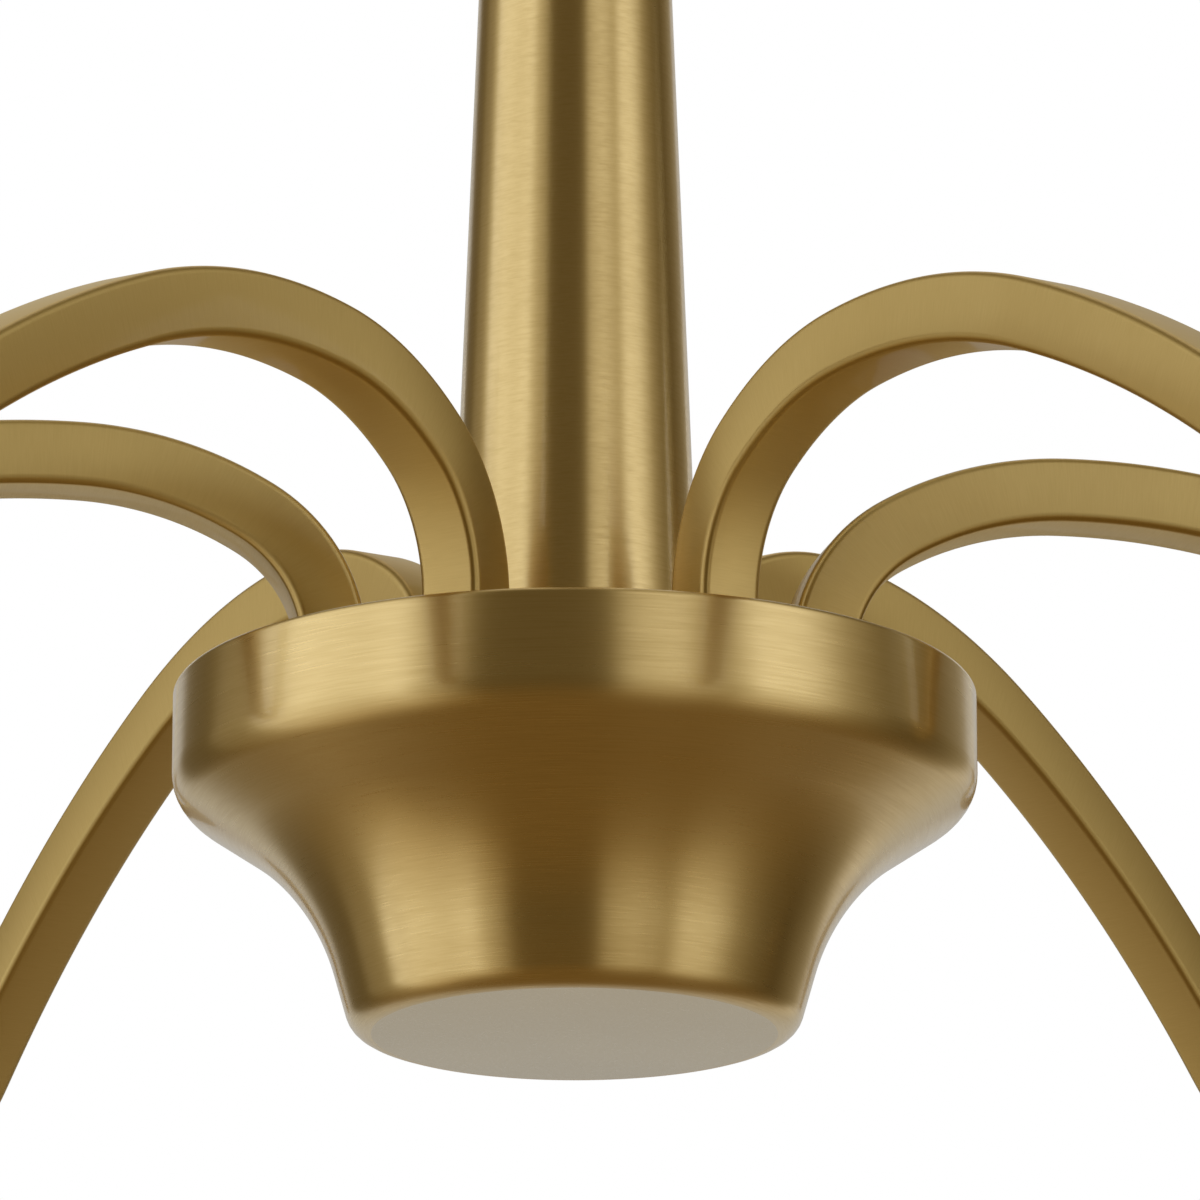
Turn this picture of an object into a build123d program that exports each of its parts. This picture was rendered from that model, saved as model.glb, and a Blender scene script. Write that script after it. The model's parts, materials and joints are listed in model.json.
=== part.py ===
from build123d import *
import os

# Six-arm candle chandelier in satin brass.
# Millimetres, +Z up. The origin is the centre of the ceiling bracket's back face,
# so the ceiling is the plane Z = 0 and everything hangs below it.

# ---- driving dimensions ----------------------------------------------------

# ceiling bracket: two slots take the outlet-box screws, 3 1/2 in apart
BRACKET_LENGTH = 110.0
BRACKET_WIDTH = 20.0
BRACKET_THICKNESS = 2.5
BRACKET_CORNER = 6.0
SLOT_SPACING = 88.9
SLOT_LENGTH = 9.0
SLOT_WIDTH = 4.6
GROUND_SCREW_X = 26.0
GROUND_SCREW_RADIUS = 1.9
GROUND_SCREW_HEAD = 4.0
GROUND_SCREW_HEAD_HEIGHT = 2.2
GROUND_SCREW_HEAD_ROUND = 0.8
DRIVER_SLOT_WIDTH = 1.2
DRIVER_SLOT_DEPTH = 0.8
# the screw and the nipple stop this far short of the ceiling
CEILING_GAP = 0.5

# 1/8 in lamp pipe, used for the nipple, the centre rod and the arm studs
PIPE_RADIUS = 4.8
PIPE_BORE = 3.0
NUT_ACROSS = 15.0
NUT_HEIGHT = 4.5
NUT_CHAMFER = 0.6
RUNNING_CLEARANCE = 0.05
SEAT_GAP = 0.1

# canopy, a spun dish that hides the outlet box
CANOPY_RADIUS = 65.0
CANOPY_DEPTH = 28.0
CANOPY_BAND = 7.0
CANOPY_ROLL = 6.0
CANOPY_ROLL_TURN = 62.0
CANOPY_CROWN_SAG = 3.0
CANOPY_FLAT_RADIUS = 24.0
CANOPY_WALL = 1.2
RING_RADIUS = 12.0
RING_HEIGHT = 7.0
RING_ROUND = 1.2
NIPPLE_LENGTH = 47.0

# hang-straight swivel, a small gimbal with a hollow block for the wires
YOKE_NECK_RADIUS = 8.0
YOKE_NECK_HEIGHT = 16.0
YOKE_NECK_ROUND = 1.0
YOKE_WEB = 4.0
PIVOT_DROP = 12.0
EAR_RADIUS = 5.5
EAR_THICKNESS = 3.0
EAR_GAP = 0.3
BLOCK_WIDTH = 24.0
BLOCK_HEIGHT = 11.0
BLOCK_BORE = 7.0
BLOCK_CORNER = 2.0
PIVOT_PIN_RADIUS = 2.0
PIVOT_PIN_REACH = 4.0

# stem, two 6 in lengths of 1/2 in tube
STEM_RADIUS = 6.35
STEM_WALL = 1.2
STEM_ROD_LENGTH = 152.4
STEM_SOCKET_DEPTH = 14.0
STEM_SOCKET_FLOOR = 2.0
LOWER_NECK_RADIUS = 8.5
COUPLING_LENGTH = 24.0
COUPLING_RADIUS = 8.5
COUPLING_ROUND = 1.5

# tapered column
COLUMN_HEIGHT = 330.0
COLUMN_BASE_RADIUS = 24.3
COLUMN_TOP_RADIUS = 11.8
COLUMN_WALL = 1.2
CAP_HEIGHT = 14.0
CAP_FLANGE = 3.0
CAP_OVERHANG = 1.5
CAP_NECK_WALL = 2.2
CAP_COVE_SAG = 1.8
CAP_PLUG = 10.0
COLUMN_PLUG_HEIGHT = 10.0

# hub bowl, spun: a straight band, a rolled shoulder, a cove and a flat bottom
BOWL_RADIUS = 76.5
BOWL_WALL = 1.5
BOWL_LIP_ROUND = 1.1
BAND_HEIGHT = 16.0
BAND_ROLL = 8.0
SHOULDER_SLOPE = 34.0
SHOULDER_RUN = 10.8
COVE_RADIUS = 46.0
NECK_SLOPE = 74.0
NECK_RUN = 8.6
FOOT_ROLL = 5.0

# plate that carries the arms, set just inside the bowl's mouth
PLATE_RECESS = 2.0
PLATE_THICKNESS = 4.0
PLATE_EDGE_GAP = 0.4
LEDGE_WIDTH = 4.0
LEDGE_HEIGHT = 4.0
BOSS_FLANGE_RADIUS = 17.0
BOSS_FLANGE = 3.0
BOSS_RADIUS = 9.0
BOSS_HEIGHT = 14.0

# arms: 1/2 in square tube, bent in one plane
ARM_COUNT = 6
ARM_SIZE = 12.7
ARM_CORNER = 1.6
ARM_WALL = 1.3
ARM_INNER_CORNER = 0.5
ARM_SEAT_RADIUS = 46.5
ARM_RISE = 9.3
# each bend is a radius and how far it turns: minus is down and outward, plus is back up
ARM_BENDS = [(31.0, -59.0), (70.0, -29.0), (152.0, -25.0), (332.0, -18.0), (90.0, 31.0), (44.0, 100.0)]
ARM_TIP_RISE = 20.0
ARM_PLUG = 8.0
ARM_STUD_LENGTH = 14.0
ARM_NIPPLE_LENGTH = 16.0
# the arms stand a sixth of a turn apart, the first one this far round from +X
FIRST_ARM_ANGLE = 4.3
# each arm swivels on its own stud, and as hung they stand this far off straight out
ARM_SET_ANGLES = [8.4, -10.0, -3.8, 3.2, -5.2, -3.8]

# candle: drip pan with cup, sleeve, socket and bulb
PAN_RADIUS = 38.0
PAN_WALL = 1.6
PAN_RIM_RISE = 7.0
PAN_RIM_SETBACK = 0.6
PAN_SAG = 3.0
PAN_COLLAR_RADIUS = 11.0
PAN_COLLAR_DEPTH = 9.0
PAN_FLOOR = 3.0
CUP_RADIUS = 14.0
CUP_HEIGHT = 16.0
CUP_FOOT = 2.0
SLEEVE_RADIUS = 11.5
SLEEVE_BORE = 10.4
SLEEVE_LENGTH = 95.0
SLEEVE_MOUTH_ROUND = 0.5
SOCKET_RADIUS = 9.9
SOCKET_LENGTH = 89.0
SOCKET_PIPE_DEPTH = 15.0
SOCKET_MOUTH_DEPTH = 24.0
BULB_CAP_RADIUS = 6.0
BULB_CAP_LENGTH = 22.0
BULB_NECK_RADIUS = 6.6
BULB_NECK_STEP = 1.0
BULB_RADIUS = 17.5
BULB_HEIGHT = 82.0
BULB_WIDEST_SHARE = 0.36
BULB_TIP_RADIUS = 2.0
BULB_TIP_FLAT = 1.2
BULB_TIP_HEIGHT = 1.0
# how far the glass leans out at its neck and in at its tip, for each unit up
BULB_NECK_LEAN = 0.12
BULB_TIP_LEAN = -0.42

# ---- heights down from the ceiling ------------------------------------------

CANOPY_BOTTOM = -CANOPY_DEPTH
YOKE_TOP = CANOPY_BOTTOM - RING_HEIGHT
YOKE_WEB_TOP = YOKE_TOP - YOKE_NECK_HEIGHT
PIVOT_Z = YOKE_WEB_TOP - YOKE_WEB - PIVOT_DROP
LOWER_WEB_BOTTOM = PIVOT_Z - PIVOT_DROP - YOKE_WEB
STEM_TOP = LOWER_WEB_BOTTOM - STEM_SOCKET_FLOOR
STEM_JOINT = STEM_TOP - STEM_ROD_LENGTH
STEM_BOTTOM = STEM_JOINT - STEM_ROD_LENGTH
CAP_TOP = STEM_BOTTOM + STEM_SOCKET_DEPTH
COLUMN_TOP = CAP_TOP - CAP_HEIGHT - CAP_FLANGE
PLATE_TOP = COLUMN_TOP - COLUMN_HEIGHT
HUB_TOP = PLATE_TOP + PLATE_RECESS
PLATE_BOTTOM = PLATE_TOP - PLATE_THICKNESS


# ---- helpers -----------------------------------------------------------------

def save(solid, node):
    export_step(solid, "parts/" + node + ".step")


def rod(radius, bottom, top):
    return Pos(0, 0, (bottom + top) / 2) * Cylinder(radius, top - bottom)


def tube(radius, bore, bottom, top):
    return rod(radius, bottom, top) - rod(bore, bottom, top)


def turned(outline):
    """Turn a closed outline, drawn as (radius, height), about the Z axis."""
    return revolve(Plane.XZ * make_face(outline), Axis.Z, 360)


def closed_to_axis(outline, top_z):
    """Close an open outline that ends on the flat bottom with the turning axis."""
    start = outline @ 0
    end = outline @ 1
    outline += Line(end, (0, end.Y))
    outline += Line((0, end.Y), (0, top_z))
    outline += Line((0, top_z), (start.X, top_z))
    return outline


def hex_nut(bottom, top):
    body = extrude(RegularPolygon(NUT_ACROSS / 2, 6, major_radius=False), top - bottom)
    rims = body.edges().group_by(Axis.Z)[0] + body.edges().group_by(Axis.Z)[-1]
    nut = chamfer(rims, NUT_CHAMFER)
    return Pos(0, 0, bottom) * nut - rod(PIPE_RADIUS, bottom - 1, top + 1)


# ---- ceiling pieces ------------------------------------------------------------

def mounting_bracket():
    plate = extrude(RectangleRounded(BRACKET_LENGTH, BRACKET_WIDTH, BRACKET_CORNER), -BRACKET_THICKNESS)
    slot = extrude(SlotOverall(SLOT_LENGTH, SLOT_WIDTH), -BRACKET_THICKNESS)
    for side in (-1, 1):
        plate -= Pos(side * SLOT_SPACING / 2, 0, 0) * slot
    plate -= rod(PIPE_RADIUS, -BRACKET_THICKNESS, 0)
    plate -= Pos(GROUND_SCREW_X, 0, 0) * rod(GROUND_SCREW_RADIUS, -BRACKET_THICKNESS, 0)
    return plate


def ground_screw():
    head_bottom = -BRACKET_THICKNESS - GROUND_SCREW_HEAD_HEIGHT
    shank = rod(GROUND_SCREW_RADIUS, -BRACKET_THICKNESS, -CEILING_GAP)
    head = rod(GROUND_SCREW_HEAD, head_bottom, -BRACKET_THICKNESS)
    head = fillet(head.edges().group_by(Axis.Z)[0], GROUND_SCREW_HEAD_ROUND)
    head -= Pos(0, 0, head_bottom) * Box(2 * GROUND_SCREW_HEAD, DRIVER_SLOT_WIDTH, 2 * DRIVER_SLOT_DEPTH)
    return Pos(GROUND_SCREW_X, 0, 0) * (shank + head)


def bracket_nipple():
    return tube(PIPE_RADIUS, PIPE_BORE, -NIPPLE_LENGTH, -CEILING_GAP)


def canopy():
    def outline(wall):
        line = Line((CANOPY_RADIUS - wall, 0), (CANOPY_RADIUS - wall, -CANOPY_BAND))
        line += JernArc(line @ 1, line % 1, CANOPY_ROLL - wall, -CANOPY_ROLL_TURN)
        floor = wall - CANOPY_DEPTH
        line += SagittaArc(line @ 1, (CANOPY_FLAT_RADIUS, floor), CANOPY_CROWN_SAG)
        return closed_to_axis(line, 0)
    dish = turned(outline(0)) - turned(outline(CANOPY_WALL))
    return dish - rod(PIPE_RADIUS, -CANOPY_DEPTH - 1, 0)


def canopy_ring():
    ring = tube(RING_RADIUS, PIPE_RADIUS, YOKE_TOP, CANOPY_BOTTOM)
    rims = ring.edges().filter_by(GeomType.CIRCLE).filter_by(lambda e: e.radius > PIPE_RADIUS + 1)
    return fillet(rims, RING_ROUND)


# ---- hang-straight swivel --------------------------------------------------------

def yoke():
    """A fork with its ears along X, its pivot at the origin and its web above."""
    ear_start = BLOCK_WIDTH / 2 + EAR_GAP
    span = 2 * (ear_start + EAR_THICKNESS)
    fork = Pos(0, 0, PIVOT_DROP + YOKE_WEB / 2) * Box(span, 2 * EAR_RADIUS, YOKE_WEB)
    for side in (-1, 1):
        middle = side * (ear_start + EAR_THICKNESS / 2)
        leg = Pos(middle, 0, PIVOT_DROP / 2) * Box(EAR_THICKNESS, 2 * EAR_RADIUS, PIVOT_DROP)
        eye = Pos(middle, 0, 0) * Rot(0, 90, 0) * Cylinder(EAR_RADIUS, EAR_THICKNESS)
        fork += leg + eye
    fork -= Rot(0, 90, 0) * Cylinder(PIVOT_PIN_RADIUS, span + 2)
    return fork


def swivel_yoke_upper():
    neck = rod(YOKE_NECK_RADIUS, YOKE_WEB_TOP, YOKE_TOP)
    neck = fillet(neck.edges().group_by(Axis.Z)[-1], YOKE_NECK_ROUND)
    body = Pos(0, 0, PIVOT_Z) * yoke() + neck
    body -= rod(PIPE_RADIUS, -NIPPLE_LENGTH, YOKE_TOP + 1)
    return body - rod(PIPE_BORE, PIVOT_Z, YOKE_TOP)


def swivel_yoke_lower():
    neck_bottom = STEM_TOP - STEM_SOCKET_DEPTH
    neck = rod(LOWER_NECK_RADIUS, neck_bottom, LOWER_WEB_BOTTOM)
    neck = fillet(neck.edges().group_by(Axis.Z)[0], YOKE_NECK_ROUND)
    body = Pos(0, 0, PIVOT_Z) * Rot(180, 0, 90) * yoke() + neck
    body -= rod(STEM_RADIUS, neck_bottom - 1, STEM_TOP)
    return body - rod(PIPE_BORE, neck_bottom, PIVOT_Z)


def swivel_block():
    block = Box(BLOCK_WIDTH, BLOCK_WIDTH, BLOCK_HEIGHT)
    block = fillet(block.edges().filter_by(Axis.Z), BLOCK_CORNER)
    block -= Cylinder(BLOCK_BORE, BLOCK_HEIGHT)
    pivot_hole = PIVOT_PIN_RADIUS + RUNNING_CLEARANCE
    block -= Rot(0, 90, 0) * Cylinder(pivot_hole, BLOCK_WIDTH)
    block -= Rot(90, 0, 0) * Cylinder(pivot_hole, BLOCK_WIDTH)
    return Pos(0, 0, PIVOT_Z) * block


def pivot_pins(turn):
    """Two short pins, one through each ear of a yoke and into the block."""
    outer = BLOCK_WIDTH / 2 + EAR_GAP + EAR_THICKNESS
    inner = BLOCK_WIDTH / 2 - PIVOT_PIN_REACH
    pins = []
    for side in (-1, 1):
        pin = Rot(0, 90, 0) * Cylinder(PIVOT_PIN_RADIUS, outer - inner)
        middle = side * (outer + inner) / 2
        pins.append(Pos(0, 0, PIVOT_Z) * Rot(0, 0, turn) * Pos(middle, 0, 0) * pin)
    return Compound(children=pins)


# ---- stem and column ---------------------------------------------------------------

def stem_rod(top):
    return tube(STEM_RADIUS, STEM_RADIUS - STEM_WALL, top - STEM_ROD_LENGTH, top)


def stem_coupling():
    half = COUPLING_LENGTH / 2
    sleeve = rod(COUPLING_RADIUS, STEM_JOINT - half, STEM_JOINT + half)
    sleeve = fillet(sleeve.edges().filter_by(GeomType.CIRCLE), COUPLING_ROUND)
    return sleeve - rod(STEM_RADIUS, STEM_JOINT - half, STEM_JOINT + half)


def column_cap():
    """Turned cap: a plug in the column, a flange on its edge and a coved neck round the stem."""
    plug_radius = COLUMN_TOP_RADIUS - COLUMN_WALL
    flange_radius = COLUMN_TOP_RADIUS + CAP_OVERHANG
    neck_radius = STEM_RADIUS + CAP_NECK_WALL
    flange_top = COLUMN_TOP + CAP_FLANGE
    profile = Polyline((0, COLUMN_TOP - CAP_PLUG), (plug_radius, COLUMN_TOP - CAP_PLUG),
                       (plug_radius, COLUMN_TOP), (flange_radius, COLUMN_TOP),
                       (flange_radius, flange_top))
    profile += SagittaArc((flange_radius, flange_top), (neck_radius, CAP_TOP), CAP_COVE_SAG)
    profile += Polyline((neck_radius, CAP_TOP), (0, CAP_TOP), (0, COLUMN_TOP - CAP_PLUG))
    cap = turned(profile)
    cap -= rod(STEM_RADIUS, STEM_BOTTOM, CAP_TOP)
    return cap - rod(PIPE_RADIUS, COLUMN_TOP - CAP_PLUG, STEM_BOTTOM)


def column_shell():
    outer = Cone(COLUMN_BASE_RADIUS, COLUMN_TOP_RADIUS, COLUMN_HEIGHT)
    inner = Cone(COLUMN_BASE_RADIUS - COLUMN_WALL, COLUMN_TOP_RADIUS - COLUMN_WALL, COLUMN_HEIGHT)
    return Pos(0, 0, (COLUMN_TOP + PLATE_TOP) / 2) * (outer - inner)


def column_base():
    """Plug that centres the column on the arm plate."""
    bottom_radius = COLUMN_BASE_RADIUS - COLUMN_WALL
    taper = (COLUMN_BASE_RADIUS - COLUMN_TOP_RADIUS) * COLUMN_PLUG_HEIGHT / COLUMN_HEIGHT
    plug = Cone(bottom_radius, bottom_radius - taper, COLUMN_PLUG_HEIGHT)
    plug = Pos(0, 0, PLATE_TOP + COLUMN_PLUG_HEIGHT / 2) * plug
    return plug - rod(PIPE_RADIUS, PLATE_TOP, PLATE_TOP + COLUMN_PLUG_HEIGHT)


def center_rod(bottom):
    return tube(PIPE_RADIUS, PIPE_BORE, bottom, STEM_BOTTOM)


# ---- hub ------------------------------------------------------------------------------

def bowl_outline(wall):
    """The bowl's outline from the rim to the flat bottom, set in from the outside by a wall."""
    line = Line((BOWL_RADIUS - wall, 0), (BOWL_RADIUS - wall, -BAND_HEIGHT))
    line += JernArc(line @ 1, line % 1, BAND_ROLL - wall, SHOULDER_SLOPE - 90)
    line += Line(line @ 1, line @ 1 + (line % 1) * SHOULDER_RUN)
    line += JernArc(line @ 1, line % 1, COVE_RADIUS + wall, NECK_SLOPE - SHOULDER_SLOPE)
    line += Line(line @ 1, line @ 1 + (line % 1) * NECK_RUN)
    line += JernArc(line @ 1, line % 1, FOOT_ROLL - wall, -NECK_SLOPE)
    return line


def bowl_depth():
    return -(bowl_outline(0) @ 1).Y


def hub_bowl():
    outside = turned(closed_to_axis(bowl_outline(0), 0))
    inside = turned(closed_to_axis(bowl_outline(BOWL_WALL), 0))
    bowl = outside - inside
    rim = bowl.edges().filter_by(GeomType.CIRCLE).group_by(Axis.Z)[-1].sort_by(SortBy.RADIUS)[-1]
    return Pos(0, 0, HUB_TOP) * fillet(rim, BOWL_LIP_ROUND)


def bowl_ledge():
    """Ring welded inside the bowl's mouth; the arm plate rests on it."""
    outer = BOWL_RADIUS - BOWL_WALL
    return tube(outer, outer - LEDGE_WIDTH, PLATE_BOTTOM - LEDGE_HEIGHT, PLATE_BOTTOM)


def hub_boss():
    """Threaded boss welded to the bowl's floor; the centre rod screws into it."""
    floor = HUB_TOP - bowl_depth() + BOWL_WALL
    boss = rod(BOSS_FLANGE_RADIUS, floor, floor + BOSS_FLANGE)
    boss += rod(BOSS_RADIUS, floor, floor + BOSS_HEIGHT)
    return boss - rod(PIPE_RADIUS, floor + BOSS_FLANGE, floor + BOSS_HEIGHT)


def arm_plate():
    plate = rod(BOWL_RADIUS - BOWL_WALL - PLATE_EDGE_GAP, PLATE_BOTTOM, PLATE_TOP)
    plate -= rod(PIPE_RADIUS, PLATE_BOTTOM, PLATE_TOP)
    stud_hole = rod(PIPE_RADIUS + RUNNING_CLEARANCE, PLATE_BOTTOM, PLATE_TOP)
    for index in range(ARM_COUNT):
        plate -= seat_location(index) * stud_hole
    return plate


# ---- arms -------------------------------------------------------------------------------

def seat_location(index):
    """Where an arm's stud axis stands, with X turned straight out from the hub."""
    return Rot(0, 0, FIRST_ARM_ANGLE + index * 360 / ARM_COUNT) * Pos(ARM_SEAT_RADIUS, 0, 0)


def arm_location(index):
    """Where an arm stands, turned on its stud by its set angle."""
    return seat_location(index) * Rot(0, 0, ARM_SET_ANGLES[index])


def arm_path():
    """Centre line of an arm in (outward, height), starting at its seat on the stud axis."""
    seat = PLATE_TOP + SEAT_GAP
    line = Line((0, seat), (0, seat + ARM_RISE))
    for radius, turn in ARM_BENDS:
        line += JernArc(line @ 1, line % 1, radius, turn)
    line += Line(line @ 1, line @ 1 + Vector(0, ARM_TIP_RISE))
    return line


def arm():
    """Square tube bent in one plane, with a brazed stud below and a nipple at the candle end."""
    inner = ARM_SIZE - 2 * ARM_WALL
    path = arm_path()
    tip = path @ 1
    seat = path @ 0
    plug = RectangleRounded(inner, inner, ARM_INNER_CORNER)
    section = RectangleRounded(ARM_SIZE, ARM_SIZE, ARM_CORNER) - plug
    body = sweep(Pos(0, 0, seat.Y) * section, Plane.XZ * path)
    body += Pos(0, 0, seat.Y) * extrude(plug, ARM_PLUG)
    body += rod(PIPE_RADIUS, seat.Y - ARM_STUD_LENGTH, seat.Y)
    body -= rod(PIPE_BORE, seat.Y - ARM_STUD_LENGTH, seat.Y + ARM_PLUG)
    body += Pos(tip.X, 0, tip.Y) * extrude(plug, -ARM_PLUG)
    body += Pos(tip.X, 0, 0) * rod(PIPE_RADIUS, tip.Y, tip.Y + ARM_NIPPLE_LENGTH)
    return body - Pos(tip.X, 0, 0) * rod(PIPE_BORE, tip.Y - ARM_PLUG, tip.Y + ARM_NIPPLE_LENGTH)


def arm_nut():
    top = PLATE_BOTTOM - SEAT_GAP
    return hex_nut(top - NUT_HEIGHT, top)


# ---- candles, drawn with the arm's end at the origin ----------------------------------------

def drip_pan():
    """Spun pan with a collar that fits over the square arm and a cup that holds the sleeve."""
    under = PAN_FLOOR - PAN_WALL
    foot = CUP_RADIUS + CUP_FOOT
    rim_radius = PAN_RADIUS - PAN_RIM_SETBACK
    rim_top = PAN_RIM_RISE + PAN_WALL
    profile = Polyline((0, -PAN_COLLAR_DEPTH), (PAN_COLLAR_RADIUS, -PAN_COLLAR_DEPTH),
                       (PAN_COLLAR_RADIUS, 0), (foot, under))
    profile += SagittaArc((foot, under), (PAN_RADIUS, PAN_RIM_RISE), PAN_SAG)
    profile += Line((PAN_RADIUS, PAN_RIM_RISE), (rim_radius, rim_top))
    profile += SagittaArc((rim_radius, rim_top), (foot, PAN_FLOOR), -PAN_SAG)
    profile += Polyline((foot, PAN_FLOOR), (CUP_RADIUS, PAN_FLOOR), (CUP_RADIUS, CUP_HEIGHT),
                        (SLEEVE_RADIUS, CUP_HEIGHT), (SLEEVE_RADIUS, PAN_FLOOR), (0, PAN_FLOOR),
                        (0, -PAN_COLLAR_DEPTH))
    pan = turned(profile)
    pan -= extrude(RectangleRounded(ARM_SIZE, ARM_SIZE, ARM_CORNER), -PAN_COLLAR_DEPTH)
    return pan - rod(PIPE_RADIUS, 0, PAN_FLOOR)


def candle_sleeve():
    sleeve = tube(SLEEVE_RADIUS, SLEEVE_BORE, PAN_FLOOR, PAN_FLOOR + SLEEVE_LENGTH)
    mouth = sleeve.edges().filter_by(GeomType.CIRCLE).group_by(Axis.Z)[-1].sort_by(SortBy.RADIUS)[-1]
    return fillet(mouth, SLEEVE_MOUTH_ROUND)


def lamp_socket():
    top = PAN_FLOOR + SOCKET_LENGTH
    body = rod(SOCKET_RADIUS, PAN_FLOOR, top)
    body -= rod(PIPE_RADIUS, PAN_FLOOR, PAN_FLOOR + SOCKET_PIPE_DEPTH)
    return body - rod(BULB_CAP_RADIUS, top - SOCKET_MOUTH_DEPTH, top)


def bulb():
    """Flame bulb: a screw cap and a glass envelope that swells and draws in to a tip."""
    cap_bottom = PAN_FLOOR + SOCKET_LENGTH - SOCKET_MOUTH_DEPTH
    cap_top = cap_bottom + BULB_CAP_LENGTH
    glass_bottom = PAN_FLOOR + SOCKET_LENGTH
    widest = glass_bottom + BULB_WIDEST_SHARE * BULB_HEIGHT
    tip = glass_bottom + BULB_HEIGHT
    neck = BULB_NECK_RADIUS - BULB_NECK_STEP
    tip_start = (BULB_TIP_RADIUS, tip - BULB_TIP_HEIGHT)
    outline = Polyline((0, cap_bottom), (BULB_CAP_RADIUS, cap_bottom), (BULB_CAP_RADIUS, cap_top),
                       (neck, cap_top), (neck, glass_bottom), (BULB_NECK_RADIUS, glass_bottom))
    outline += Spline((BULB_NECK_RADIUS, glass_bottom), (BULB_RADIUS, widest), tip_start,
                      tangents=[(BULB_NECK_LEAN, 1), (BULB_TIP_LEAN, 1)])
    outline += Polyline(tip_start, (BULB_TIP_FLAT, tip), (0, tip), (0, cap_bottom))
    return turned(outline)


# ---- write every piece -------------------------------------------------------------------------

os.makedirs("parts", exist_ok=True)

BOSS_THREAD_BOTTOM = HUB_TOP - bowl_depth() + BOWL_WALL + BOSS_FLANGE

fixed_pieces = {
    "mounting_bracket": mounting_bracket(),
    "ground_screw": ground_screw(),
    "bracket_nipple": bracket_nipple(),
    "bracket_nut": hex_nut(-BRACKET_THICKNESS - NUT_HEIGHT, -BRACKET_THICKNESS),
    "canopy": canopy(),
    "canopy_ring": canopy_ring(),
    "swivel_yoke_upper": swivel_yoke_upper(),
    "swivel_pins_upper": pivot_pins(0),
    "swivel_block": swivel_block(),
    "swivel_pins_lower": pivot_pins(90),
    "swivel_yoke_lower": swivel_yoke_lower(),
    "stem_rod_upper": stem_rod(STEM_TOP),
    "stem_coupling": stem_coupling(),
    "stem_rod_lower": stem_rod(STEM_JOINT),
    "column_cap": column_cap(),
    "column_shell": column_shell(),
    "column_base": column_base(),
    "center_rod": center_rod(BOSS_THREAD_BOTTOM),
    "arm_plate": arm_plate(),
    "plate_nut": hex_nut(PLATE_BOTTOM - NUT_HEIGHT, PLATE_BOTTOM),
    "hub_bowl": hub_bowl(),
    "bowl_ledge": bowl_ledge(),
    "hub_boss": hub_boss(),
}
for node, solid in fixed_pieces.items():
    save(solid, node)

arm_end = arm_path() @ 1
candle_place = Pos(arm_end.X, 0, arm_end.Y)
arm_pieces = {
    "arm": arm(),
    "arm_nut": arm_nut(),
    "drip_pan": candle_place * drip_pan(),
    "candle_sleeve": candle_place * candle_sleeve(),
    "lamp_socket": candle_place * lamp_socket(),
    "bulb": candle_place * bulb(),
}
for index in range(ARM_COUNT):
    for name, solid in arm_pieces.items():
        save(arm_location(index) * solid, f"{name}_{index + 1}")
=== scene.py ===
import json
import math
import bpy
import bmesh
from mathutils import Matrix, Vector


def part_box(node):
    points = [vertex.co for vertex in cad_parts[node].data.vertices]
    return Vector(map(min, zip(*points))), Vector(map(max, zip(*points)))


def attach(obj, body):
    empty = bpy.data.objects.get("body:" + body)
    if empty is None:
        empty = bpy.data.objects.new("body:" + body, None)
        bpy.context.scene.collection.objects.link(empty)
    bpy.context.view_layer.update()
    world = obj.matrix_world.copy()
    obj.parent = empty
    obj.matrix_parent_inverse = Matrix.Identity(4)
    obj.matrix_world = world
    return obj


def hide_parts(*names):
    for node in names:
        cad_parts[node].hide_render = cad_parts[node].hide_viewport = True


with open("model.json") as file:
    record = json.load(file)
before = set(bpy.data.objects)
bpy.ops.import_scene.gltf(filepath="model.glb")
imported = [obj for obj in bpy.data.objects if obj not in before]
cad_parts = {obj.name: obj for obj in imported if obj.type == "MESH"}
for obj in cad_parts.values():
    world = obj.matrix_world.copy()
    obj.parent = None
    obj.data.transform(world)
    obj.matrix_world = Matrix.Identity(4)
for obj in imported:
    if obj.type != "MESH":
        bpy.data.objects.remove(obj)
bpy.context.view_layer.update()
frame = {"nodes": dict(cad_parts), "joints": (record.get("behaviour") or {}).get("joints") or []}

NODES = frame["nodes"]
ARM_COUNT = 6

# ---- camera: a long lens, below the hub and looking up at it -------------------
CAMERA_DISTANCE = 1.563
CAMERA_DROP = 0.4284
CAMERA_SIDE = 0.0048
CAMERA_PITCH = math.radians(15.98)
CAMERA_LENS = 255.1
SENSOR_WIDTH = 36.0
CLIP_START = 0.05
CLIP_END = 200.0

# ---- the arms' square tube, in metres -------------------------------------------
TUBE_SIZE = 0.0127
TUBE_CORNER = 0.0016
TUBE_CORNER_STEPS = 6
ARM_RISE = 0.0093
ARM_BENDS = [(0.031, -59), (0.070, -29), (0.152, -25), (0.332, -18), (0.090, 31), (0.044, 100)]
ARM_TIP_RISE = 0.020
ARM_STEP = 0.0016
TUBE_SHARP_ANGLE = 50
# the arm's seat is a plate's thickness and two thin gaps above its nut
SEAT_ABOVE_NUT = 0.0042
STUD_LENGTH = 0.014
NIPPLE_LENGTH = 0.016
PIPE_RADIUS = 0.0048
PIPE_PITCH = 0.001
PIPE_THREAD_DEPTH = 0.0004
PIPE_SEGMENTS = 32

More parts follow.
